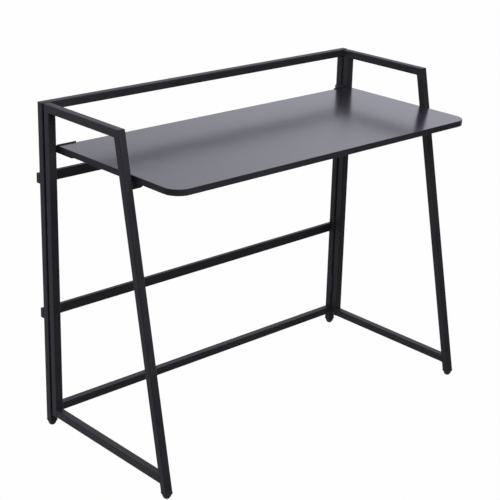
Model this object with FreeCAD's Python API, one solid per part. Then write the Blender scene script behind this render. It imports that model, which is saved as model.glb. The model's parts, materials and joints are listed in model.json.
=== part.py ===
import FreeCAD, Part
import math
import os

# Folding desk: a welded back frame, two hinged side frames and a pivoting board.
# Millimetres, +Z up, +X to the desk's right, the user sits on the -Y side.

# Frame of square tube
overall_width = 1020.0
top_rail_rise = 100.0
tube = 20.0
tube_wall = 1.2
tube_corner = 2.5
post_gap = 6.0
bottom_rail_lift = 35.0

# Cross rails of rectangular tube, behind the back posts
cross_height = 25.0
cross_depth = 12.0
cross_corner = 2.0
middle_rail_lift = 291.0
upper_rail_lift = 639.0

# Slanted front legs: from the rear of the back posts to the leg's front face
leg_floor_reach = 484.0
leg_top_reach = 311.0

# Board
desk_height = 740.0
board_thick = 15.0
board_side_gap = 1.5
board_setback = 48.0
board_depth = 433.5
board_front_radius = 40.0
board_rear_radius = 3.0
band_thick = 1.2
band_round = 1.0

# Plastic feet, end caps and plugs
foot_height = 15.0
foot_lip = 2.0
foot_lip_proud = 0.7
foot_dome_radius = 8.7
foot_dome_height = 4.5
foot_flat_radius = 4.0
plug_depth = 14.0
plug_clearance = 0.15
cap_flange = 1.5

# Butt hinges of the side frames
hinge_length = 55.0
lower_hinge_lift = 104.0
upper_hinge_drop = 30.0
knuckle_length = 18.0
knuckle_clearance = 0.3
hinge_pin_radius = 1.6
hinge_pin_head_radius = 2.6
hinge_pin_head = 1.0
leaf_thick = 1.5
leaf_width = 12.0
running_clearance = 0.05

# Board pivot: its axis from the rear of the back posts and below the desk top
pivot_setback = 9.0
pivot_drop = 9.0
pivot_radius = 3.0
pivot_head_radius = 5.5
pivot_head = 2.0
washer_radius = 6.5
washer_thick = 0.8
side_clearance = 0.2

# Hinge brackets under the board and their wood screws
bracket_plate = 2.5
bracket_width = 53.0
bracket_reach = 57.0
bracket_clearance = 0.3
upstand_proud = 2.5
screw_radius = 1.75
screw_head_radius = 3.5
screw_head = 1.8
screw_bite = 10.0
screw_clearance = 0.15
screw_edge = 14.0

# Board supports on the legs
support_reach = 37.0
support_drop = 19.0
support_round = 8.0
support_plate = 3.0
support_flange_depth = 14.0
pad_thick = 2.0
pad_margin = 1.5
pad_clearance = 0.2

# Derived places. While modelling, the rear plane of the back posts is y = 0.
half_width = overall_width / 2
overall_height = desk_height + top_rail_rise
inner_x = half_width - tube
rail_under = overall_height - tube
side_post_rear = -tube - post_gap
side_post_front = side_post_rear - tube
hinge_y = -tube - post_gap / 2
upper_hinge_lift = desk_height - upper_hinge_drop - hinge_length
corner_distance = math.hypot(tube_corner, tube_corner + post_gap / 2)
knuckle_radius = corner_distance - tube_corner - knuckle_clearance
bore = tube - 2 * tube_wall
bore_corner = tube_corner - tube_wall
plug_side = bore - 2 * plug_clearance
leg_slope = (leg_floor_reach - leg_top_reach) / overall_height
leg_depth = tube * math.sqrt(1 + leg_slope ** 2)
board_half = inner_x - board_side_gap
board_rear = -board_setback
board_front = board_rear - board_depth
board_under = desk_height - board_thick
pivot_y = -pivot_setback
pivot_z = desk_height - pivot_drop
bracket_under = board_under - bracket_plate
bracket_rear = board_rear + bracket_clearance + bracket_plate
cheek_radius = pivot_z - bracket_under
cheek_outer = inner_x - washer_thick - side_clearance
cheek_inner = cheek_outer - bracket_plate
support_top = board_under - pad_clearance - pad_thick


def leg_front(z):
    return -leg_floor_reach + leg_slope * z


def leg_rear(z):
    return leg_front(z) + leg_depth


def leg_middle(z):
    return leg_front(z) + leg_depth / 2


# The desk's origin is on the floor, in the middle of its width and depth.
front_extent = min(board_front, leg_front(foot_height) - foot_lip_proud)
middle_y = (cross_depth + front_extent) / 2


def vector(x, y, z):
    return FreeCAD.Vector(x, y, z)


def box(low, high):
    length, width, height = [b - a for a, b in zip(low, high)]
    return Part.makeBox(length, width, height, vector(*low))


def rod_x(radius, x_low, x_high, y, z):
    return Part.makeCylinder(radius, x_high - x_low, vector(x_low, y, z), vector(1, 0, 0))


def rod_z(radius, x, y, z_low, z_high):
    return Part.makeCylinder(radius, z_high - z_low, vector(x, y, z_low))


def prism(corners, sweep):
    face = Part.Face(Part.makePolygon(corners + corners[:1]))
    return face.extrude(sweep)


def back_outline(points):
    # Trims a tube of the back frame to an outline given as (x, z).
    return prism([vector(x, -tube, z) for x, z in points], vector(0, tube, 0))


def side_outline(points):
    # Trims a tube of the right side frame to an outline given as (y, z).
    return prism([vector(inner_x, y, z) for y, z in points], vector(tube, 0, 0))


def runs_up(edge):
    run = edge.tangentAt(edge.FirstParameter)
    return abs(run.z) > math.hypot(run.x, run.y)


def long_edges(shape):
    return [e for e in shape.Edges if runs_up(e)]


def bar(start, end, height, depth, corner):
    # Bar with rounded long edges whose centre line runs from start to end.
    run = end - start
    shape = box((-height / 2, -depth / 2, 0), (height / 2, depth / 2, run.Length))
    shape = shape.makeFillet(corner, long_edges(shape))
    shape.Placement = FreeCAD.Placement(start, FreeCAD.Rotation(vector(0, 0, 1), run))
    return shape


def square_bar(start, end, side, corner):
    return bar(start, end, side, side, corner)


def square_tube(start, end):
    return square_bar(start, end, tube, tube_corner).cut(square_bar(start, end, bore, bore_corner))


def cross_bar(x_low, x_high, lift, inset):
    # Bar with the cross rails' section, drawn in by an inset.
    z = lift + cross_height / 2
    start = vector(x_low, cross_depth / 2, z)
    end = vector(x_high, cross_depth / 2, z)
    return bar(start, end, cross_height - 2 * inset, cross_depth - 2 * inset, cross_corner - inset)


def plug(start, end):
    return square_bar(start, end, plug_side, bore_corner)


def mirrored(shape):
    return shape.mirror(vector(0, 0, 0), vector(1, 0, 0))


def back_post():
    x = half_width - tube / 2
    shape = square_tube(vector(x, -tube / 2, 0), vector(x, -tube / 2, overall_height))
    corners = [(inner_x, foot_height), (half_width, foot_height)]
    corners += [(half_width, overall_height), (inner_x, rail_under)]
    return shape.common(back_outline(corners))


def back_top_rail():
    z = overall_height - tube / 2
    shape = square_tube(vector(-half_width, -tube / 2, z), vector(half_width, -tube / 2, z))
    corners = [(-half_width, overall_height), (half_width, overall_height)]
    corners += [(inner_x, rail_under), (-inner_x, rail_under)]
    return shape.common(back_outline(corners))


def back_bottom_rail():
    z = bottom_rail_lift + tube / 2
    return square_tube(vector(-inner_x, -tube / 2, z), vector(inner_x, -tube / 2, z))


def cross_rail(lift):
    # Lapped on the rear of the posts, so that nothing bars the space between them.
    end = half_width - cap_flange
    return cross_bar(-end, end, lift, 0).cut(cross_bar(-end, end, lift, tube_wall))


def cross_rail_cap(lift):
    end = half_width - cap_flange
    core = cross_bar(end - plug_depth, end, lift, tube_wall + plug_clearance)
    return cross_bar(end, half_width, lift, 0).fuse(core)


def upright_block(y_low, y_high, z_low, z_high, proud):
    # Block under a tube of the frame, standing proud of it all round.
    low = (inner_x - proud, y_low - proud, z_low)
    high = (half_width + proud, y_high + proud, z_high)
    block = box(low, high)
    return block.makeFillet(tube_corner + proud, long_edges(block))


def foot_taper(reach):
    # Turned form of a foot: a dome with a small flat, then a cone out to the tube's corners.
    dome_centre = foot_dome_radius ** 2 + foot_dome_height ** 2 - foot_flat_radius ** 2
    dome_centre = dome_centre / (2 * foot_dome_height)
    dome = math.hypot(foot_flat_radius, dome_centre)
    edge = (foot_flat_radius + foot_dome_radius) / 2
    low = vector(foot_flat_radius, 0, 0)
    high = vector(foot_dome_radius, 0, foot_dome_height)
    bend = vector(edge, 0, dome_centre - math.sqrt(dome ** 2 - edge ** 2))
    shoulder = vector(reach, 0, foot_height - foot_lip)
    core = vector(0, 0, foot_height - foot_lip)
    origin = vector(0, 0, 0)
    edges = [Part.makeLine(origin, low), Part.Arc(low, bend, high).toShape(), Part.makeLine(high, shoulder)]
    edges += [Part.makeLine(shoulder, core), Part.makeLine(core, origin)]
    return Part.Face(Part.Wire(edges)).revolve(origin, vector(0, 0, 1), 360)


def domed_foot(y_low, y_high):
    under = foot_height - foot_lip
    corner_cut = math.hypot(tube_corner, tube_corner) - tube_corner
    taper = foot_taper(math.hypot(tube, y_high - y_low) / 2 - corner_cut)
    taper.translate(vector(half_width - tube / 2, (y_low + y_high) / 2, 0))
    lip = upright_block(y_low, y_high, under, foot_height, foot_lip_proud)
    return upright_block(y_low, y_high, 0, under, 0).common(taper).fuse(lip)


def back_foot():
    x = half_width - tube / 2
    top = foot_height + plug_depth
    return domed_foot(-tube, 0).fuse(plug(vector(x, -tube / 2, foot_height), vector(x, -tube / 2, top)))


def leg_axis(z):
    return vector(half_width - tube / 2, leg_middle(z), z)


def front_foot():
    top = foot_height + plug_depth
    core = plug(leg_axis(-tube), leg_axis(top + tube))
    core = core.common(side_outline(leg_outline(foot_height, top)))
    return domed_foot(leg_front(foot_height), leg_rear(foot_height)).fuse(core)


def leg_outline(z_low, z_high):
    low = [(leg_front(z_low), z_low), (leg_rear(z_low), z_low)]
    return low + [(leg_rear(z_high), z_high), (leg_front(z_high), z_high)]


def side_post():
    x = half_width - tube / 2
    y = side_post_rear - tube / 2
    low = bottom_rail_lift + cap_flange
    shape = square_tube(vector(x, y, low), vector(x, y, overall_height))
    corners = [(side_post_front, low), (side_post_rear, low)]
    corners += [(side_post_rear, overall_height), (side_post_front, rail_under)]
    return shape.common(side_outline(corners))


def side_post_plug():
    x = half_width - tube / 2
    y = side_post_rear - tube / 2
    low = bottom_rail_lift + cap_flange
    flange = square_bar(vector(x, y, bottom_rail_lift), vector(x, y, low), tube, tube_corner)
    return flange.fuse(plug(vector(x, y, low), vector(x, y, low + plug_depth)))


def side_top_rail():
    x = half_width - tube / 2
    z = overall_height - tube / 2
    shape = square_tube(vector(x, side_post_rear, z), vector(x, leg_front(overall_height), z))
    corners = [(side_post_rear, overall_height), (leg_front(overall_height), overall_height)]
    corners += [(leg_rear(rail_under), rail_under), (side_post_front, rail_under)]
    return shape.common(side_outline(corners))


def front_leg():
    shape = square_tube(leg_axis(-tube), leg_axis(overall_height + tube))
    corners = [(leg_front(foot_height), foot_height), (leg_rear(foot_height), foot_height)]
    corners += [(leg_rear(rail_under), rail_under), (leg_front(overall_height), overall_height)]
    return shape.common(side_outline(corners))


def side_bottom_rail():
    x = half_width - tube / 2
    z = bottom_rail_lift + tube / 2
    top = bottom_rail_lift + tube
    shape = square_tube(vector(x, side_post_front, z), vector(x, leg_front(0), z))
    corners = [(side_post_front, bottom_rail_lift), (side_post_front, top)]
    corners += [(leg_rear(top), top), (leg_rear(bottom_rail_lift), bottom_rail_lift)]
    return shape.common(side_outline(corners))


def hinge_leaf(lift, y_face, spans, other_spans):
    # One leaf lies flat on a post, in the gap, with its knuckles at the gap's inner mouth.
    leaf = box((inner_x, y_face, lift), (inner_x + leaf_width, y_face + leaf_thick, lift + hinge_length))
    for low, high in other_spans:
        leaf = leaf.cut(rod_z(knuckle_radius + knuckle_clearance, inner_x, hinge_y, low, high))
    for low, high in spans:
        leaf = leaf.fuse(rod_z(knuckle_radius, inner_x, hinge_y, low, high))
    hole = rod_z(hinge_pin_radius + running_clearance, inner_x, hinge_y, lift, lift + hinge_length)
    return leaf.cut(hole).removeSplitter()


def fixed_leaf(lift):
    top = lift + hinge_length
    outer = [(lift, lift + knuckle_length), (top - knuckle_length, top)]
    middle = [(lift + knuckle_length, top - knuckle_length)]
    return hinge_leaf(lift, -tube - leaf_thick, outer, middle)


def moving_leaf(lift):
    top = lift + hinge_length
    shoulder = knuckle_length + knuckle_clearance
    outer = [(lift, lift + shoulder), (top - shoulder, top)]
    middle = [(lift + shoulder, top - shoulder)]
    return hinge_leaf(lift, side_post_rear, middle, outer)


def hinge_pin(lift):
    top = lift + hinge_length
    pin = rod_z(hinge_pin_radius, inner_x, hinge_y, lift - hinge_pin_head, top + hinge_pin_head)
    pin = pin.fuse(rod_z(hinge_pin_head_radius, inner_x, hinge_y, lift - hinge_pin_head, lift))
    return pin.fuse(rod_z(hinge_pin_head_radius, inner_x, hinge_y, top, top + hinge_pin_head))


def pivot_stud():
    head_end = cheek_inner - side_clearance
    stud = rod_x(pivot_radius, head_end, inner_x, pivot_y, pivot_z)
    return stud.fuse(rod_x(pivot_head_radius, head_end - pivot_head, head_end, pivot_y, pivot_z))


def pivot_washer():
    disc = rod_x(washer_radius, inner_x - washer_thick, inner_x, pivot_y, pivot_z)
    hole = rod_x(pivot_radius + running_clearance, inner_x - washer_thick, inner_x, pivot_y, pivot_z)
    return disc.cut(hole)


def rounded_slab(inset):
    # The board's outline, drawn in by an inset, over the board's full thickness.
    low = (inset - board_half, board_front + inset, board_under)
    high = (board_half - inset, board_rear - inset, desk_height)
    slab = box(low, high)
    middle = (board_front + board_rear) / 2
    front = [e for e in long_edges(slab) if e.Vertexes[0].Y < middle]
    slab = slab.makeFillet(board_front_radius - inset, front)
    rear = [e for e in long_edges(slab) if e.Vertexes[0].Y > board_rear - inset - band_thick]
    return slab.makeFillet(board_rear_radius - inset, rear)


def screw_places():
    xs = (cheek_outer - screw_edge, cheek_outer - bracket_width + screw_edge)
    ys = (board_rear - screw_edge, board_rear - bracket_reach + screw_edge)
    return [(x, y) for x in xs for y in ys]


def board_core():
    core = rounded_slab(band_thick)
    hole_top = board_under + screw_bite
    for x, y in screw_places():
        hole = rod_z(screw_radius + screw_clearance, x, y, board_under, hole_top)
        core = core.cut([hole, mirrored(hole)])
    return core


def edge_band():
    outer = rounded_slab(0)
    rims = [e for e in outer.Edges if abs(e.Vertexes[0].Z - e.Vertexes[-1].Z) < band_round]
    return outer.makeFillet(band_round, rims).cut(rounded_slab(band_thick))


def hinge_bracket():
    # Plate under the board, upstand behind its rear edge and cheek back to the pivot.
    side = cheek_outer - bracket_width
    tip = board_rear - bracket_reach
    top = desk_height + upstand_proud
    plate = box((side, tip, bracket_under), (cheek_outer, bracket_rear, board_under))
    upstand = box((side, bracket_rear - bracket_plate, bracket_under), (cheek_outer, bracket_rear, top))
    arm = box((cheek_inner, bracket_rear, bracket_under), (cheek_outer, pivot_y, pivot_z + cheek_radius))
    eye = rod_x(cheek_radius, cheek_inner, cheek_outer, pivot_y, pivot_z)
    shape = plate.fuse([upstand, arm, eye])
    shape = shape.cut(rod_x(pivot_radius + running_clearance, cheek_inner, cheek_outer, pivot_y, pivot_z))
    for x, y in screw_places():
        shape = shape.cut(rod_z(screw_radius + screw_clearance, x, y, bracket_under, board_under))
    return shape.removeSplitter()


def bracket_screw(x, y):
    head = rod_z(screw_head_radius, x, y, bracket_under - screw_head, bracket_under)
    return head.fuse(rod_z(screw_radius, x, y, bracket_under - screw_head, board_under + screw_bite))


def board_support():
    # Tab on the leg's inner face: a web with a rounded lower corner under a flat flange.
    x = inner_x - support_reach
    y = leg_middle(support_top)
    under = support_top - support_plate
    low = support_top - support_drop
    half = support_flange_depth / 2
    flange = box((x, y - half, under), (inner_x, y + half, support_top))
    web = box((x, y - support_plate / 2, low), (inner_x, y + support_plate / 2, under))
    tip = [e for e in web.Edges if e.BoundBox.XMax < x + support_plate]
    corner = [e for e in tip if e.BoundBox.ZMax < low + support_plate]
    web = web.makeFillet(min(support_round, under - low - pad_margin), corner)
    return flange.fuse(web).removeSplitter()


def support_pad():
    y = leg_middle(support_top)
    half = support_flange_depth / 2 - pad_margin
    low = (inner_x - support_reach + pad_margin, y - half, support_top)
    high = (inner_x - pad_margin, y + half, support_top + pad_thick)
    return box(low, high)


nodes = {}


def add(name, *shapes):
    solids = [solid for shape in shapes for solid in shape.Solids]
    nodes[name] = solids[0] if len(solids) == 1 else Part.makeCompound(solids)


def add_pair(name, *shapes):
    # The same pieces on both sides of the desk, each side its own node.
    add("right_" + name, *shapes)
    add("left_" + name, *[mirrored(shape) for shape in shapes])


hinge_lifts = (lower_hinge_lift, upper_hinge_lift)
cross_lifts = (middle_rail_lift, upper_rail_lift)

# Back frame
add_pair("back_post", back_post())
add_pair("back_foot", back_foot())
add("back_top_rail", back_top_rail())
add("back_bottom_rail", back_bottom_rail())
add("middle_cross_rail", cross_rail(middle_rail_lift))
add("upper_cross_rail", cross_rail(upper_rail_lift))
add_pair("cross_rail_caps", *[cross_rail_cap(lift) for lift in cross_lifts])
add_pair("hinge_fixed_leaves", *[fixed_leaf(lift) for lift in hinge_lifts])
add_pair("hinge_pins", *[hinge_pin(lift) for lift in hinge_lifts])
add_pair("pivot_stud", pivot_stud())
add_pair("pivot_washer", pivot_washer())

# Side frames
add_pair("side_post", side_post())
add_pair("side_top_rail", side_top_rail())
add_pair("front_leg", front_leg())
add_pair("side_bottom_rail", side_bottom_rail())
add_pair("front_foot", front_foot())
add_pair("side_post_plug", side_post_plug())
add_pair("hinge_moving_leaves", *[moving_leaf(lift) for lift in hinge_lifts])
add_pair("board_support", board_support())
add_pair("support_pad", support_pad())

# Board
add("board_core", board_core())
add("board_edge_band", edge_band())
add_pair("hinge_bracket", hinge_bracket())
add_pair("bracket_screws", *[bracket_screw(x, y) for x, y in screw_places()])

os.makedirs("parts", exist_ok=True)
for name, shape in nodes.items():
    shape.translate(vector(0, -middle_y, 0))
    shape.exportStep(f"parts/{name}.step")
    print(name, len(shape.Solids), shape.isValid(), round(shape.Volume))
print("nodes", len(nodes), "middle_y", round(middle_y, 3))
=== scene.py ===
import json
import math

import bpy
from mathutils import Matrix, Vector


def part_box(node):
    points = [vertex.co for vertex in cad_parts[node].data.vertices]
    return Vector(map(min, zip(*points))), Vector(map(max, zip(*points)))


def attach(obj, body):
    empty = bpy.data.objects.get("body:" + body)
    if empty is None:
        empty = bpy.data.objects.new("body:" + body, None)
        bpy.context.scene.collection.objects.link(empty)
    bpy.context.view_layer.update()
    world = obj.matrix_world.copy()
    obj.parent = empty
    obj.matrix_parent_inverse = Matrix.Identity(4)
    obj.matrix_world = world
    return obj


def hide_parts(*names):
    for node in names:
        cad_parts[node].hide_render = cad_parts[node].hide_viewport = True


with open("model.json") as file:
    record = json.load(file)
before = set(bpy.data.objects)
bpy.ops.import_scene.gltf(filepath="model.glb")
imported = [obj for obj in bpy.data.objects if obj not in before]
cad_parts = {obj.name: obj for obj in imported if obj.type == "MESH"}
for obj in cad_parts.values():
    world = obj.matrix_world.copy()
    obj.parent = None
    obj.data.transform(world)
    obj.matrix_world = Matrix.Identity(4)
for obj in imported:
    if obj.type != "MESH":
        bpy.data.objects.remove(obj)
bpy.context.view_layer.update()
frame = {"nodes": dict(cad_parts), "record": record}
nodes = frame["nodes"]
print("frame loaded:", len(nodes), "nodes")


class Field:  # a shader socket that takes part in Python arithmetic
    def __init__(self, tree, socket=None):
        self.tree, self.socket = tree, socket

    def make(self, kind, settings=None, inputs=None, output=0):  # any node, with its settings and sockets
        node = self.tree.nodes.new(kind)
        for name, value in (settings or {}).items():
            setattr(node, name, value)
        for name, value in (inputs or {}).items():
            if isinstance(value, Field):
                self.tree.links.new(value.socket, node.inputs[name])
            else:
                node.inputs[name].default_value = value
        return Field(self.tree, node.outputs[output])

    def math(self, operation, first, second):
        return self.make("ShaderNodeMath", {"operation": operation}, {0: first, 1: second})

    def __add__(self, other):
        return self.math("ADD", self, other)

    def __radd__(self, other):
        return self.math("ADD", other, self)

    def __sub__(self, other):
        return self.math("SUBTRACT", self, other)

    def __rsub__(self, other):
        return self.math("SUBTRACT", other, self)

    def __mul__(self, other):
        return self.math("MULTIPLY", self, other)

    def __rmul__(self, other):
        return self.math("MULTIPLY", other, self)

    def between(self, low, high):  # 0 below low, 1 above high, smooth in between
        settings = {"interpolation_type": "SMOOTHSTEP"}
        return self.make("ShaderNodeMapRange", settings, {"Value": self, "From Min": low, "From Max": high})

    def shade(self, dark, light):  # mixes two colours by this value
        return self.make("ShaderNodeMix", {"data_type": "RGBA"}, {"Factor": self, 6: dark, 7: light}, 2)


def newMaterial(name):
    material = bpy.data.materials.new(name)
    material.use_nodes = True
    tree = material.node_tree
    shader = tree.nodes["Principled BSDF"]
    return material, Field(tree), shader


def feed(field, socket):
    field.tree.links.new(field.socket, socket)


noiseMean = 0.5
blendLimits = (0.3, 0.7)  # where a noise field starts and ends its blend of two colours


def noise(base, coords, scale, detail=2.0, roughness=0.5):
    inputs = {"Vector": coords, "Scale": scale, "Detail": detail, "Roughness": roughness}
    return base.make("ShaderNodeTexNoise", None, inputs, "Fac")


def blend(finish, field):  # the finish's two colours, mixed by a noise field
    return field.between(*blendLimits).shade(finish["dark"], finish["light"])


def gloss(finish, field):  # a roughness that wanders with a noise field
    mean, spread = finish["roughness"]
    return mean + spread * (field - noiseMean)


def bump(base, finish, height):
    strength, distance = finish["bump"]
    return base.make("ShaderNodeBump", None, {"Height": height, "Strength": strength, "Distance": distance})


def objectCoords(base):
    return base.make("ShaderNodeTexCoord", None, None, "Object")


# In each finish below, roughness is a mean and a spread, and bump is a strength and a height in metres.
# The other tuples give a noise its scale, detail and roughness, or two noises their shares.
powderCoat = {
    "dark": (0.0071, 0.0069, 0.0081, 1),
    "light": (0.0121, 0.0118, 0.0137, 1),
    "roughness": (0.50, 0.10),
    "peel": (520, 1.0),
    "grain": (1700, 1.0),
    "wander": (14, 3.0, 0.6),
    "tintShares": (0.6, 0.4),
    "reliefShares": (0.65, 0.35),
    "bump": (0.22, 0.00035),
    "specular": 0.20,
}


def makePowderCoat():
    material, base, shader = newMaterial("satinPowderCoat")
    coords = objectCoords(base)
    peel, grain, wander = (noise(base, coords, *powderCoat[name]) for name in ("peel", "grain", "wander"))
    wanderShare, grainShare = powderCoat["tintShares"]
    feed(blend(powderCoat, wanderShare * wander + grainShare * grain), shader.inputs["Base Color"])
    feed(gloss(powderCoat, wander), shader.inputs["Roughness"])
    peelShare, grainShare = powderCoat["reliefShares"]
    feed(bump(base, powderCoat, peelShare * peel + grainShare * grain), shader.inputs["Normal"])
    shader.inputs["Specular IOR Level"].default_value = powderCoat["specular"]
    return material


laminate = {
    "dark": (0.0080, 0.0080, 0.0100, 1),
    "light": (0.0115, 0.0115, 0.0140, 1),
    "roughness": (0.20, 0.06),
    "emboss": (1300, 2.0),
    "smudge": (7, 4.0, 0.6),
    "tintShares": (0.5, 0.5),
    "bump": (0.10, 0.0002),
}


def makeLaminate():
    material, base, shader = newMaterial("charcoalLaminate")
    coords = objectCoords(base)
    emboss, smudge = (noise(base, coords, *laminate[name]) for name in ("emboss", "smudge"))
    smudgeShare, embossShare = laminate["tintShares"]
    feed(blend(laminate, smudgeShare * smudge + embossShare * emboss), shader.inputs["Base Color"])
    feed(gloss(laminate, smudge), shader.inputs["Roughness"])
    feed(bump(base, laminate, emboss), shader.inputs["Normal"])
    return material


edgeBand = {
    "dark": (0.0048, 0.0048, 0.0062, 1),
    "light": (0.0086, 0.0086, 0.0104, 1),
    "roughness": (0.48, 0.1),
    "grain": (900, 2.0),
    "wander": (11, 3.0),
    "tintShares": (0.5, 0.5),
    "bump": (0.12, 0.0003),
    "specular": 0.18,
}


def makeEdgeBand():
    material, base, shader = newMaterial("satinEdgeBand")
    coords = objectCoords(base)
    grain, wander = (noise(base, coords, *edgeBand[name]) for name in ("grain", "wander"))
    grainShare, wanderShare = edgeBand["tintShares"]
    feed(blend(edgeBand, grainShare * grain + wanderShare * wander), shader.inputs["Base Color"])
    feed(gloss(edgeBand, wander), shader.inputs["Roughness"])
    feed(bump(base, edgeBand, grain), shader.inputs["Normal"])
    shader.inputs["Specular IOR Level"].default_value = edgeBand["specular"]
    return material


mouldedPlastic = {
    "dark": (0.0065, 0.0065, 0.0075, 1),
    "light": (0.0115, 0.0115, 0.0130, 1),
    "roughness": (0.52, 0.12),
    "grain": (2200, 2.0),
    "wander": (60, 2.0),
    "bump": (0.25, 0.0003),
    "specular": 0.30,
}


def makeMouldedPlastic():
    material, base, shader = newMaterial("mouldedPlastic")
    coords = objectCoords(base)
    grain, wander = (noise(base, coords, *mouldedPlastic[name]) for name in ("grain", "wander"))
    feed(blend(mouldedPlastic, wander), shader.inputs["Base Color"])
    feed(gloss(mouldedPlastic, grain), shader.inputs["Roughness"])
    feed(bump(base, mouldedPlastic, grain), shader.inputs["Normal"])
    shader.inputs["Specular IOR Level"].default_value = mouldedPlastic["specular"]
    return material


platedSteel = {
    "dark": (0.050, 0.050, 0.055, 1),
    "light": (0.095, 0.095, 0.102, 1),
    "metal": 0.9,
    "roughness": (0.36, 0.16),
    "turning": (1500, 1500, 220),  # the fine tool marks run longer one way
    "marks": (1.0, 2.0),
    "cloud": (180, 2.0),
    "bump": (0.15, 0.0002),
}


def makePlatedSteel():
    material, base, shader = newMaterial("blackPlatedSteel")
    coords = objectCoords(base)
    stretched = base.make("ShaderNodeMapping", None, {"Vector": coords, "Scale": platedSteel["turning"]})
    marks = noise(base, stretched, *platedSteel["marks"])
    feed(blend(platedSteel, noise(base, coords, *platedSteel["cloud"])), shader.inputs["Base Color"])
    feed(gloss(platedSteel, marks), shader.inputs["Roughness"])
    feed(bump(base, platedSteel, marks), shader.inputs["Normal"])
    shader.inputs["Metallic"].default_value = platedSteel["metal"]
    return material


nylon = {
    "dark": (0.026, 0.026, 0.029, 1),
    "light": (0.040, 0.040, 0.044, 1),
    "roughness": (0.48, 0.1),
    "flow": (240, 3.0),
    "bump": (0.1, 0.0002),
}


def makeNylon():
    material, base, shader = newMaterial("darkNylon")
    flow = noise(base, objectCoords(base), *nylon["flow"])
    feed(blend(nylon, flow), shader.inputs["Base Color"])
    feed(gloss(nylon, flow), shader.inputs["Roughness"])
    feed(bump(base, nylon, flow), shader.inputs["Normal"])
    return material


rubber = {
    "dark": (0.0090, 0.0090, 0.0090, 1),
    "light": (0.0160, 0.0160, 0.0160, 1),
    "roughness": (0.84, 0.1),
    "grain": (1600, 3.0),
    "bloom": (90, 2.0),
    "bump": (0.4, 0.0004),
}


def makeRubber():
    material, base, shader = newMaterial("blackRubber")
    coords = objectCoords(base)
    grain, bloom = (noise(base, coords, *rubber[name]) for name in ("grain", "bloom"))
    feed(blend(rubber, bloom), shader.inputs["Base Color"])
    feed(gloss(rubber, bloom), shader.inputs["Roughness"])
    feed(bump(base, rubber, grain), shader.inputs["Normal"])
    return material


finishes = {
    "frame_paint": makePowderCoat(),
    "board_laminate": makeLaminate(),
    "edge_band": makeEdgeBand(),
    "black_plastic": makeMouldedPlastic(),
    "dark_steel": makePlatedSteel(),
    "washer_nylon": makeNylon(),
    "pad_rubber": makeRubber(),
}
for part in frame["record"]["subparts"]:
    mesh = nodes[part["node"]].data
    mesh.materials.clear()
    mesh.materials.append(finishes[part["material_slot"]])
print("materials made:", len(finishes))


shaping = {
    "aligned": 0.9,  # how closely an edge or a normal follows an axis to count as along it
    "square": 0.999,  # the same for a face without its roundings
    "near": 1e-5,
    "merge": 1e-6,
    "flat": math.radians(1),  # edges with less of a turn are cleared
    "sharp": math.radians(40),  # edges with more of a turn are eased
    "smooth": math.radians(32),  # edges with less of a turn are shaded smooth
    "easeSteps": 2,
}
lyingX = (0, math.radians(90), 0)  # turns a drum's axis from Z to X


def wake(piece):  # leaves one object selected and active
    bpy.ops.object.select_all(action="DESELECT")
    piece.select_set(True)
    bpy.context.view_layer.objects.active = piece


def settle(name):  # names the active object and moves its place and turn into its mesh
    piece = bpy.context.object
    piece.name = name
    bpy.ops.object.transform_apply(location=True, rotation=True, scale=True)
    return piece


def block(name, low, high):
    bpy.ops.object.select_all(action="DESELECT")
    low, high = Vector(low), Vector(high)
    bpy.ops.mesh.primitive_cube_add(size=1, location=(low + high) / 2, scale=high - low)
    return settle(name)


def drum(name, middle, radius, depth, sides, turn=(0, 0, 0)):
    bpy.ops.object.select_all(action="DESELECT")
    bpy.ops.mesh.primitive_cylinder_add(
        vertices=sides, radius=radius, depth=depth, location=middle, rotation=turn)
    return settle(name)


def clearPicks(kind):
    bpy.ops.object.mode_set(mode="EDIT")
    bpy.ops.mesh.select_mode(type=kind)
    bpy.ops.mesh.select_all(action="DESELECT")
    bpy.ops.object.mode_set(mode="OBJECT")


def pickFaces(piece, test):  # the test sees each face's centre and normal
    clearPicks("FACE")
    for face in piece.data.polygons:
        face.select = test(face.center, face.normal)
    bpy.ops.object.mode_set(mode="EDIT")


def pickEdges(piece, test):  # the test sees each edge's middle and its run
    clearPicks("EDGE")
    points = piece.data.vertices
    for edge in piece.data.edges:
        first, second = (points[index].co for index in edge.vertices)
        edge.select = test((first + second) / 2, second - first)
    bpy.ops.object.mode_set(mode="EDIT")


def near(first, second):
    return abs(first - second) < shaping["near"]


def along(axis, places=()):  # an edge test: runs along one axis, at the given places on the others
    def test(middle, run):
        there = all(near(middle[other], place) for other, place in places)
        return there and abs(run[axis]) > shaping["aligned"] * run.length
    return test


def facing(axis, sign):  # a face test: looks squarely along one axis
    return lambda centre, normal: sign * normal[axis] > shaping["square"]


def bevelEdges(piece, test, width, steps):
    pickEdges(piece, test)
    bpy.ops.mesh.bevel(offset=width, segments=steps, affect="EDGES")
    bpy.ops.object.mode_set(mode="OBJECT")


def bevelRim(piece, test, width, steps):  # rounds the border of the faces that pass the test
    pickFaces(piece, test)
    bpy.ops.mesh.region_to_loop()
    bpy.ops.mesh.bevel(offset=width, segments=steps, affect="EDGES")
    bpy.ops.object.mode_set(mode="OBJECT")


def push(piece, test, shift, inset=0):  # moves the picked faces, after an inset where one is given
    pickFaces(piece, test)
    if inset:
        bpy.ops.mesh.inset(thickness=inset)
    bpy.ops.mesh.extrude_region_move(TRANSFORM_OT_translate={"value": shift})
    bpy.ops.object.mode_set(mode="OBJECT")


def slit(piece, axis, place):  # cuts the mesh in two along a plane across one axis
    normal = [0, 0, 0]
    normal[axis] = 1
    wake(piece)
    bpy.ops.object.mode_set(mode="EDIT")
    bpy.ops.mesh.select_all(action="SELECT")
    bpy.ops.mesh.bisect(plane_co=[place * part for part in normal], plane_no=normal)
    bpy.ops.object.mode_set(mode="OBJECT")


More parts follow.
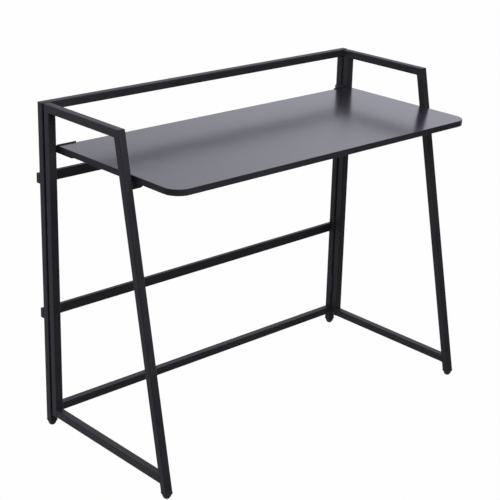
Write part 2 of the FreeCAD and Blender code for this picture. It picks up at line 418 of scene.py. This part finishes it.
def mergeFlats(piece):  # clears the edges that lie inside a flat face
    wake(piece)
    bpy.ops.object.mode_set(mode="EDIT")
    bpy.ops.mesh.select_all(action="SELECT")
    bpy.ops.mesh.dissolve_limited(angle_limit=shaping["flat"])
    bpy.ops.object.mode_set(mode="OBJECT")


def soften(piece, width):  # a narrow rounding on every edge that is still sharp
    wake(piece)
    rounding = piece.modifiers.new("rounding", "BEVEL")
    rounding.width, rounding.segments = width, shaping["easeSteps"]
    rounding.limit_method, rounding.angle_limit = "ANGLE", shaping["sharp"]
    bpy.ops.object.modifier_apply(modifier=rounding.name)


def duplicate(piece, name, shift=(0, 0, 0), quarter=0, flip=1):  # a copy with its own mesh
    wake(piece)
    bpy.ops.object.duplicate()
    copy = bpy.context.object
    copy.location, copy.scale.x = shift, flip
    copy.rotation_euler.z = math.radians(90 * quarter)
    settle(name)
    bpy.ops.object.mode_set(mode="EDIT")
    bpy.ops.mesh.select_all(action="SELECT")
    bpy.ops.mesh.remove_doubles(threshold=shaping["merge"])
    bpy.ops.mesh.normals_make_consistent(inside=False)
    bpy.ops.object.mode_set(mode="OBJECT")
    return copy


def gather(pieces, name):  # joins pieces into one object
    wake(pieces[0])
    for piece in pieces:
        piece.select_set(True)
    bpy.ops.object.join()
    pieces[0].name = name
    return pieces[0]


def publish(piece, body, slotName, replaced=()):
    wake(piece)
    bpy.ops.object.shade_smooth_by_angle(angle=shaping["smooth"])
    weighting = piece.modifiers.new("weighting", "WEIGHTED_NORMAL")  # keeps flats flat beside roundings
    weighting.keep_sharp = True
    bpy.ops.object.modifier_apply(modifier=weighting.name)
    piece.data.materials.clear()
    piece.data.materials.append(finishes[slotName])
    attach(piece, body)
    if replaced:
        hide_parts(*replaced)


def publishPair(piece, title, body, slotName, node=None):  # the right-hand piece and its mirror image
    other = duplicate(piece, "left" + title, flip=-1)
    for side, each in (("right", piece), ("left", other)):
        publish(each, body.format(side), slotName, [f"{side}_{node}"] if node else ())


leg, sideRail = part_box("right_front_leg"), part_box("right_side_top_rail")
legSlope = (sideRail[0].y - leg[0].y) / (leg[1].z - leg[0].z)
tube = leg[1].x - leg[0].x

footSet = {
    "height": leg[0].z,
    "lip": 0.002,
    "proud": 0.0007,  # how far the lip stands out past the tube
    "corner": 0.0032,
    "cornerSteps": 5,
    "ease": 0.0004,
    "easeSteps": 2,
    "domeRadius": 0.0087,
    "domeHeight": 0.0045,
    "flat": 0.0040,
    "domeSteps": 6,
    "coneSteps": 4,
    "flatCuts": 6,
}


def farReach(piece, middle):  # of the picked ring from the foot's axis
    bpy.ops.object.mode_set(mode="OBJECT")
    reach = max((point.co.xy - middle.xy).length for point in piece.data.vertices if point.select)
    bpy.ops.object.mode_set(mode="EDIT")
    return reach


def footRings(under, shoulder):  # height, reach and roundness of each ring below the lip
    radius, height, flat = (footSet[name] for name in ("domeRadius", "domeHeight", "flat"))
    centre = (radius ** 2 + height ** 2 - flat ** 2) / (2 * height)
    ball = math.hypot(flat, centre)
    wide, narrow = math.atan2(radius, centre - height), math.atan2(flat, centre)
    rings = []
    for step in range(1, footSet["coneSteps"] + 1):
        share = step / footSet["coneSteps"]
        rings.append((under + (height - under) * share, shoulder + (radius - shoulder) * share, share))
    for step in range(1, footSet["domeSteps"] + 1):
        turn = wide + (narrow - wide) * (step / footSet["domeSteps"])
        rings.append((centre - ball * math.cos(turn), ball * math.sin(turn), 1))
    return rings


def makeFoot(title, node, body, length):
    low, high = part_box("right_" + node)
    under = footSet["height"] - footSet["lip"]
    end = low.y + length + 2 * footSet["proud"]
    foot = block("right" + title, (low.x, low.y, under), (high.x, end, footSet["height"]))
    middle = Vector(((low.x + high.x) / 2, (low.y + end) / 2, 0))
    bevelEdges(foot, along(2), footSet["corner"], footSet["cornerSteps"])
    flats = [along(axis) for axis in (0, 1)]
    pickEdges(foot, lambda centre, run: run.length > tube / 2 and any(flat(centre, run) for flat in flats))
    bpy.ops.mesh.subdivide(number_cuts=footSet["flatCuts"])
    bpy.ops.object.mode_set(mode="OBJECT")
    for sign in (1, -1):
        bevelRim(foot, facing(2, sign), footSet["ease"], footSet["easeSteps"])
    pickFaces(foot, facing(2, -1))
    bpy.ops.mesh.inset(thickness=footSet["proud"])
    level = under
    for height, reach, roundness in footRings(under, farReach(foot, middle)):
        bpy.ops.mesh.extrude_region_move(TRANSFORM_OT_translate={"value": (0, 0, height - level)})
        level = height
        bpy.ops.transform.tosphere(value=roundness)
        factor = reach / farReach(foot, middle)
        bpy.ops.transform.resize(
            value=(factor, factor, 1), center_override=(middle.x, middle.y, height))
    bpy.ops.object.mode_set(mode="OBJECT")
    publishPair(foot, title, body, "black_plastic", node)


makeFoot("BackFoot", "back_foot", "back_frame", tube)
makeFoot("FrontFoot", "front_foot", "{}_side_frame", tube * math.hypot(1, legSlope))
print("feet modelled")


capSet = {
    "thick": 0.0015,
    "railCorner": 0.002,
    "plugCorner": 0.0025,
    "cornerSteps": 4,
    "ease": 0.0005,
    "easeSteps": 3,
    "border": 0.0013,
    "sink": 0.0004,
    "soft": 0.000125,
}


def makeCap(name, low, high, axis, sign, corner):  # a flange with eased edges and a sunken panel
    cap = block(name, low, high)
    bevelEdges(cap, along(axis), corner, capSet["cornerSteps"])
    bevelRim(cap, facing(axis, sign), capSet["ease"], capSet["easeSteps"])
    sink = [0, 0, 0]
    sink[axis] = -sign * capSet["sink"]
    push(cap, facing(axis, sign), sink, capSet["border"])
    soften(cap, capSet["soft"])
    return cap


def makeCaps():
    caps = []
    for node in ("middle_cross_rail", "upper_cross_rail"):
        low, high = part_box(node)
        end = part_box("right_cross_rail_caps")[1].x
        outer = (end, high.y, high.z)
        caps.append(makeCap("railCap", (high.x, low.y, low.z), outer, 0, 1, capSet["railCorner"]))
    publishPair(gather(caps, "rightRailCaps"), "RailCaps", "back_frame", "black_plastic", "cross_rail_caps")
    low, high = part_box("right_side_post_plug")
    upper = (high.x, high.y, low.z + capSet["thick"])
    plug = makeCap("rightPostPlug", low, upper, 2, -1, capSet["plugCorner"])
    publishPair(plug, "PostPlug", "{}_side_frame", "black_plastic", "side_post_plug")


makeCaps()
print("caps and plugs modelled")


screwSet = {
    "radius": 0.0035,
    "head": 0.0018,
    "dome": 0.0013,
    "domeSteps": 5,
    "slot": (0.0036, 0.0009),
    "depth": 0.0012,
    "taper": 0.7,  # the recess narrows towards its floor
    "sides": 32,
}


def makeScrews():
    low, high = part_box("right_bracket_screws")
    radius, thick = screwSet["radius"], screwSet["head"]
    head = drum("screwHead", (0, 0, -thick / 2), radius, thick, screwSet["sides"])
    bevelRim(head, facing(2, -1), screwSet["dome"], screwSet["domeSteps"])
    long, wide = (measure / 2 for measure in screwSet["slot"])
    floor, under = screwSet["depth"] - thick, -2 * thick
    recess = block("recess", (-long, -wide, under), (long, wide, floor))
    for sign in (-1, 1):
        slit(recess, 0, sign * wide)
    for sign in (-1, 1):  # the middle of the bar, pushed out both ways, makes it a cross
        push(recess, lambda centre, normal: sign * normal.y > shaping["aligned"] and abs(centre.x) < wide,
             (0, sign * (long - wide), 0))
    pickFaces(recess, facing(2, 1))
    taper = screwSet["taper"]
    bpy.ops.transform.resize(value=(taper, taper, 1), center_override=(0, 0, floor))
    bpy.ops.object.mode_set(mode="OBJECT")
    wake(head)
    carve = head.modifiers.new("carve", "BOOLEAN")
    carve.object, carve.operation, carve.solver = recess, "DIFFERENCE", "EXACT"
    bpy.ops.object.modifier_apply(modifier=carve.name)
    bpy.data.objects.remove(recess)
    screws = []
    for x in (low.x + radius, high.x - radius):
        for y in (low.y + radius, high.y - radius):
            screws.append(duplicate(head, "screw", (x, y, low.z + thick)))
    bpy.data.objects.remove(head)
    publishPair(gather(screws, "rightScrews"), "Screws", "board", "dark_steel", "bracket_screws")


makeScrews()
print("screws modelled")


studSet = {
    "head": 0.002,
    "dome": 0.0014,
    "domeSteps": 5,
    "shank": 0.003,
    "dimple": 0.0016,
    "sink": 0.0005,
    "sides": 40,
}


def makeStuds():
    low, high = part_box("right_pivot_stud")
    middle = (low + high) / 2
    radius, thick = (high.z - low.z) / 2, studSet["head"]
    start = (low.x + thick / 2, middle.y, middle.z)
    stud = drum("rightStud", start, radius, thick, studSet["sides"], lyingX)
    bevelRim(stud, facing(0, -1), studSet["dome"], studSet["domeSteps"])
    push(stud, facing(0, -1), (studSet["sink"], 0, 0), studSet["dimple"])
    push(stud, facing(0, 1), (high.x - low.x - thick, 0, 0), radius - studSet["shank"])
    publishPair(stud, "Stud", "back_frame", "dark_steel", "pivot_stud")


makeStuds()


pinSet = {"head": 0.001, "ease": 0.0004, "easeSteps": 4, "length": 0.055, "sides": 28}


def makePinHeads():
    low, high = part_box("right_hinge_pins")
    middle, thick = (low + high) / 2, pinSet["head"]
    radius = (high.x - low.x) / 2
    head = drum("pinHead", (middle.x, middle.y, thick / 2), radius, thick, pinSet["sides"])
    for sign in (1, -1):
        bevelRim(head, facing(2, sign), pinSet["ease"], pinSet["easeSteps"])
    reach = thick + pinSet["length"]
    heights = (low.z, low.z + reach, high.z - thick - reach, high.z - thick)
    heads = [duplicate(head, "pinHead", (0, 0, height)) for height in heights]
    bpy.data.objects.remove(head)
    publishPair(gather(heads, "rightPinHeads"), "PinHeads", "back_frame", "dark_steel", "hinge_pins")


makePinHeads()
print("studs and pins modelled")


bracketSet = {
    "plate": 0.0025,
    "clearance": 0.0003,
    "bend": 0.0024,
    "bendSteps": 4,
    "corner": 0.004,
    "cornerSteps": 5,
    "eyeSteps": 8,
    "eyeSlack": 0.0001,  # keeps the two rounds of an eye from meeting
    "ease": 0.00035,
}


def makeBrackets():
    low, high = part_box("right_hinge_bracket")
    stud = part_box("right_pivot_stud")
    plate = bracketSet["plate"]
    pivotZ, pivotY = (stud[0].z + stud[1].z) / 2, (stud[0].y + stud[1].y) / 2
    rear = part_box("board_edge_band")[1].y + bracketSet["clearance"] + plate
    eye = high.y - pivotY
    cheek, armTop = high.x - plate, pivotZ + eye
    behind = rear - plate
    bracket = block("rightBracket", low, (high.x, rear, low.z + plate))
    bevelEdges(bracket, along(2, ((1, low.y),)), bracketSet["corner"], bracketSet["cornerSteps"])
    slit(bracket, 1, behind)
    slit(bracket, 0, cheek)
    push(bracket, lambda centre, normal: normal.z > shaping["aligned"] and centre.y > behind,
         (0, 0, high.z - low.z - plate))
    slit(bracket, 2, armTop)
    push(bracket, lambda centre, normal: normal.y > shaping["aligned"] and centre.x > cheek
         and centre.y > behind and centre.z < armTop, (0, high.y - rear, 0))
    mergeFlats(bracket)
    ends = [along(0, ((1, high.y), (2, height))) for height in (low.z, armTop)]
    bevelEdges(bracket, lambda middle, run: any(end(middle, run) for end in ends),
               eye - bracketSet["eyeSlack"], bracketSet["eyeSteps"])
    bevelEdges(bracket, along(0, ((1, rear), (2, low.z))), bracketSet["bend"], bracketSet["bendSteps"])
    soften(bracket, bracketSet["ease"])
    publishPair(bracket, "Bracket", "board", "frame_paint", "hinge_bracket")


makeBrackets()
print("brackets modelled")


supportSet = {
    "plate": 0.003,
    "round": 0.008,
    "roundSteps": 7,
    "corner": 0.003,
    "cornerSteps": 4,
    "ease": 0.0004,
}


def makeSupports():
    low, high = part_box("right_board_support")
    plate, middle = supportSet["plate"], (low.y + high.y) / 2
    under = high.z - plate
    support = block("rightSupport", (low.x, low.y, under), high)
    for sign in (-1, 1):
        slit(support, 1, middle + sign * plate / 2)
    push(support, lambda centre, normal: -normal.z > shaping["aligned"]
         and abs(centre.y - middle) < plate / 2, (0, 0, low.z - under))
    mergeFlats(support)
    bevelEdges(support, along(1, ((0, low.x), (2, low.z))), supportSet["round"], supportSet["roundSteps"])
    upright = along(2, ((0, low.x),))
    bevelEdges(support, lambda centre, run: upright(centre, run) and abs(centre.y - middle) > plate,
               supportSet["corner"], supportSet["cornerSteps"])
    soften(support, supportSet["ease"])
    publishPair(support, "Support", "{}_side_frame", "frame_paint", "board_support")


makeSupports()


padSet = {
    "corner": 0.0022,
    "cornerSteps": 4,
    "grooves": 6,
    "groove": 0.001,
    "depth": 0.0006,
    "soft": 0.0001,
}


def makePads():
    low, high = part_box("right_support_pad")
    pad = block("rightPad", low, high)
    bevelEdges(pad, along(2), padSet["corner"], padSet["cornerSteps"])
    groove = padSet["groove"]
    pitch = (high.x - low.x) / (padSet["grooves"] + 1)
    starts = [low.x + pitch * step - groove / 2 for step in range(1, padSet["grooves"] + 1)]
    for start in starts:
        slit(pad, 0, start)
        slit(pad, 0, start + groove)
    push(pad, lambda centre, normal: normal.z > shaping["aligned"]
         and any(start < centre.x < start + groove for start in starts), (0, 0, -padSet["depth"]))
    soften(pad, padSet["soft"])
    publishPair(pad, "Pad", "{}_side_frame", "pad_rubber", "support_pad")


makePads()
print("supports and pads modelled")


beadSet = {
    "radius": 0.0014,
    "length": 0.0172,
    "ripples": 9,
    "swell": 1.16,
    "endShare": 0.55,  # how wide the ends stay
    "sides": 12,
}


def makeBead():  # one rippled weld bead along X
    bead = drum("bead", (0, 0, 0), beadSet["radius"], beadSet["length"], beadSet["sides"], lyingX)
    swell, endShare = beadSet["swell"], beadSet["endShare"]
    cuts = 2 * beadSet["ripples"] - 1
    pickEdges(bead, along(0))
    bpy.ops.mesh.subdivide(number_cuts=cuts)
    pitch = beadSet["length"] / (cuts + 1)
    pickEdges(bead, lambda middle, run: near(run.x, 0) and round(abs(middle.x) / pitch) % 2 == 0)
    bpy.ops.transform.resize(value=(1, swell, swell), center_override=(0, 0, 0))
    pickEdges(bead, lambda middle, run: near(run.x, 0) and near(abs(middle.x), beadSet["length"] / 2))
    bpy.ops.transform.resize(value=(1, endShare, endShare), center_override=(0, 0, 0))
    bpy.ops.object.mode_set(mode="OBJECT")
    return bead


def makeWelds():
    bead = makeBead()
    low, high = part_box("back_bottom_rail")
    middle = (low.y + high.y) / 2
    topUnder = sideRail[0].z
    backPlaces = [((high.x, middle, height), 1) for height in (low.z, high.z, topUnder)]
    tubeMiddle = (leg[0].x + leg[1].x) / 2
    for node in ("middle_cross_rail", "upper_cross_rail"):
        railLow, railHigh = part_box(node)
        backPlaces += [((tubeMiddle, railLow.y, height), 0) for height in (railLow.z, railHigh.z)]
    back = [duplicate(bead, "bead", place, turn) for place, turn in backPlaces]
    publishPair(gather(back, "rightBackWelds"), "BackWelds", "back_frame", "frame_paint")
    low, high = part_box("right_side_bottom_rail")
    legRear = leg[0].y + tube * math.hypot(1, legSlope)
    sidePlaces = [((tubeMiddle, high.y, height), 0) for height in (high.z, topUnder)]
    for height in (low.z, high.z, topUnder):
        sidePlaces.append(((tubeMiddle, legRear + legSlope * (height - leg[0].z), height), 0))
    low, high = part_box("right_board_support")
    sidePlaces.append(((leg[0].x, (low.y + high.y) / 2, high.z - supportSet["plate"]), 1))
    side = [duplicate(bead, "bead", place, turn) for place, turn in sidePlaces]
    bpy.data.objects.remove(bead)
    publishPair(gather(side, "rightSideWelds"), "SideWelds", "{}_side_frame", "frame_paint")


makeWelds()
print("weld beads modelled")


floorSet = {"size": 60.0, "glow": 0.99, "drop": 0.0002}
white, black = (1, 1, 1, 1), (0, 0, 0, 1)


def makeFloor():
    bpy.ops.object.select_all(action="DESELECT")
    bpy.ops.mesh.primitive_plane_add(size=floorSet["size"], location=(0, 0, -floorSet["drop"]))
    floor = settle("floor")
    material, shader = newMaterial("paleFloor")[::2]
    shader.inputs["Base Color"].default_value = black  # it only glows, so it takes no shadow
    shader.inputs["Specular IOR Level"].default_value = 0
    shader.inputs["Emission Color"].default_value = white
    shader.inputs["Emission Strength"].default_value = floorSet["glow"]
    floor.data.materials.append(material)
    floor.visible_glossy = False  # the satin parts mirror the studio round them


studio = {
    "front": 0.16,  # brightness of the room in front of the desk
    "back": 1.08,  # brightness of the backdrop
    "ceiling": 1.04,  # extra light from overhead
    "seen": 0.99,  # the backdrop as the camera sees it
    "leftShare": 0.82,  # the backdrop is dimmer on the left
    "rightGain": 0.45,
    "slant": (0.9, 0.2),  # the backdrop faces the desk a little from the right
    "backLimits": (-0.5, 0.95),  # where each part of the room starts and ends its blend
    "rightLimits": (-0.4, 0.25),
    "ceilingLimits": (0.35, 0.95),
    "tint": (0.962, 0.956, 1.09, 1),
}


def makeStudio():
    world = bpy.data.worlds.new("studio")
    world.use_nodes = True
    bpy.context.scene.world = world
    base = Field(world.node_tree)
    direction = base.make("ShaderNodeTexCoord", None, None, "Generated")
    parts = (base.make("ShaderNodeSeparateXYZ", None, {"Vector": direction}, axis) for axis in "XYZ")
    across, depth, height = parts
    straight, sideways = studio["slant"]
    towardsBack = (straight * depth + sideways * across).between(*studio["backLimits"])
    towardsRight = (across - depth).between(*studio["rightLimits"])
    room = studio["front"] + (studio["back"] - studio["front"]) * towardsBack
    sides = studio["leftShare"] + studio["rightGain"] * towardsRight
    light = room * sides + studio["ceiling"] * height.between(*studio["ceilingLimits"])
    sight = base.make("ShaderNodeLightPath", None, None, "Is Camera Ray")
    background = world.node_tree.nodes["Background"]
    feed(sight.shade(studio["tint"], white), background.inputs["Color"])
    feed(light * (1 - sight) + studio["seen"] * sight, background.inputs["Strength"])


softbox = {"energy": 28.0, "size": 0.7, "place": (-0.42, -0.80, 1.42), "aim": (-0.25, 0.0, 0.6)}


def makeSoftbox():
    light = bpy.data.lights.new("softbox", "AREA")
    light.energy, light.size = softbox["energy"], softbox["size"]
    holder = bpy.data.objects.new("softbox", light)
    holder.location = softbox["place"]
    beam = Vector(softbox["aim"]) - Vector(softbox["place"])
    holder.rotation_euler = beam.to_track_quat("-Z", "Y").to_euler()
    holder.visible_glossy = False  # it lights the desk without showing as a patch on the board
    bpy.context.scene.collection.objects.link(holder)


cameraSet = {
    "place": (-2.15118, -2.28101, 1.61411),
    "heading": 43.647,  # degrees from +Y towards +X
    "tilt": 19.538,  # degrees below the horizon
    "roll": 1.804,
    "lens": 94.425,
    "sensor": 36.0,
    "shift": (-0.04, -0.06),  # shares of the picture's width
}


def makeCamera():
    data = bpy.data.cameras.new("photoView")
    data.lens, data.sensor_width = cameraSet["lens"], cameraSet["sensor"]
    data.shift_x, data.shift_y = cameraSet["shift"]
    camera = bpy.data.objects.new("photoView", data)
    turn = Matrix.Rotation(-math.radians(cameraSet["heading"]), 4, "Z")
    pitch = Matrix.Rotation(math.radians(90 - cameraSet["tilt"]), 4, "X")
    roll = Matrix.Rotation(math.radians(cameraSet["roll"]), 4, "Z")
    camera.matrix_world = Matrix.Translation(cameraSet["place"]) @ turn @ pitch @ roll
    bpy.context.scene.collection.objects.link(camera)
    bpy.context.scene.camera = camera


makeFloor()
makeStudio()
makeSoftbox()
makeCamera()
bpy.context.scene.view_settings.view_transform = "Standard"
print("studio and camera ready")
